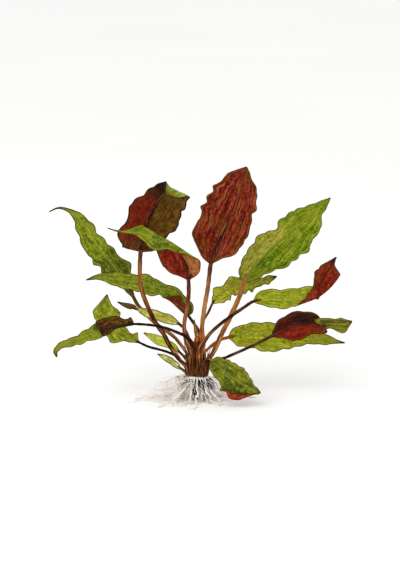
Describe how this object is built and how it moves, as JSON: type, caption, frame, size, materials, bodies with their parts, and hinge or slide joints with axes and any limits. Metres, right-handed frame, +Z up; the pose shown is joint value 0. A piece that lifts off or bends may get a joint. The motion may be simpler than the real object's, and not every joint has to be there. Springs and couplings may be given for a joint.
{
  "type": "cryptocoryne plant",
  "caption": "Bare-root aquarium plant: a rosette of long-stalked ruffled leaves, green above and red below, on a short crown with pale roots.",
  "frame": {"origin": "middle of the flat cut face of the rootstock, on the surface that the plant stands on", "axes": "+X to the right as the picture shows the plant, along its longest extent; +Y away from the viewer; +Z up, out of the crown"},
  "size_m": [0.2271, 0.1119, 0.1765],
  "materials": {
    "leaf_green": "satin, ruffled",
    "leaf_red": "satin, ruffled",
    "spear_red": "satin",
    "crown_brown": "fibrous, matt",
    "root_pale": "smooth, matt"
  },
  "bodies": {
    "root": {"crown": "crown_brown", "leaf_far_left": "leaf_green", "leaf_middle_left": "leaf_green", "leaf_narrow_left": "leaf_green", "leaf_small_left": "leaf_green", "leaf_lowest_left": "leaf_green", "leaf_arched_left": "leaf_green", "leaf_diamond_left": "leaf_green", "leaf_big_right": "leaf_green", "leaf_behind_right": "leaf_green", "leaf_turned_right": "leaf_green", "leaf_low_right": "leaf_green", "leaf_front_right": "leaf_green", "leaf_top_left": "leaf_red", "leaf_folded_left": "leaf_red", "leaf_top_red": "leaf_red", "leaf_red_right": "leaf_red", "young_spear": "spear_red", "root_01": "root_pale", "root_02": "root_pale", "root_03": "root_pale", "root_04": "root_pale", "root_05": "root_pale", "root_06": "root_pale", "root_07": "root_pale", "root_08": "root_pale", "root_09": "root_pale", "root_10": "root_pale", "root_11": "root_pale", "root_12": "root_pale", "root_13": "root_pale", "root_14": "root_pale", "root_15": "root_pale", "root_16": "root_pale", "root_17": "root_pale", "root_18": "root_pale", "root_19": "root_pale", "root_20": "root_pale", "root_21": "root_pale", "root_22": "root_pale", "root_23": "root_pale", "root_24": "root_pale"}
  },
  "joints": []
}
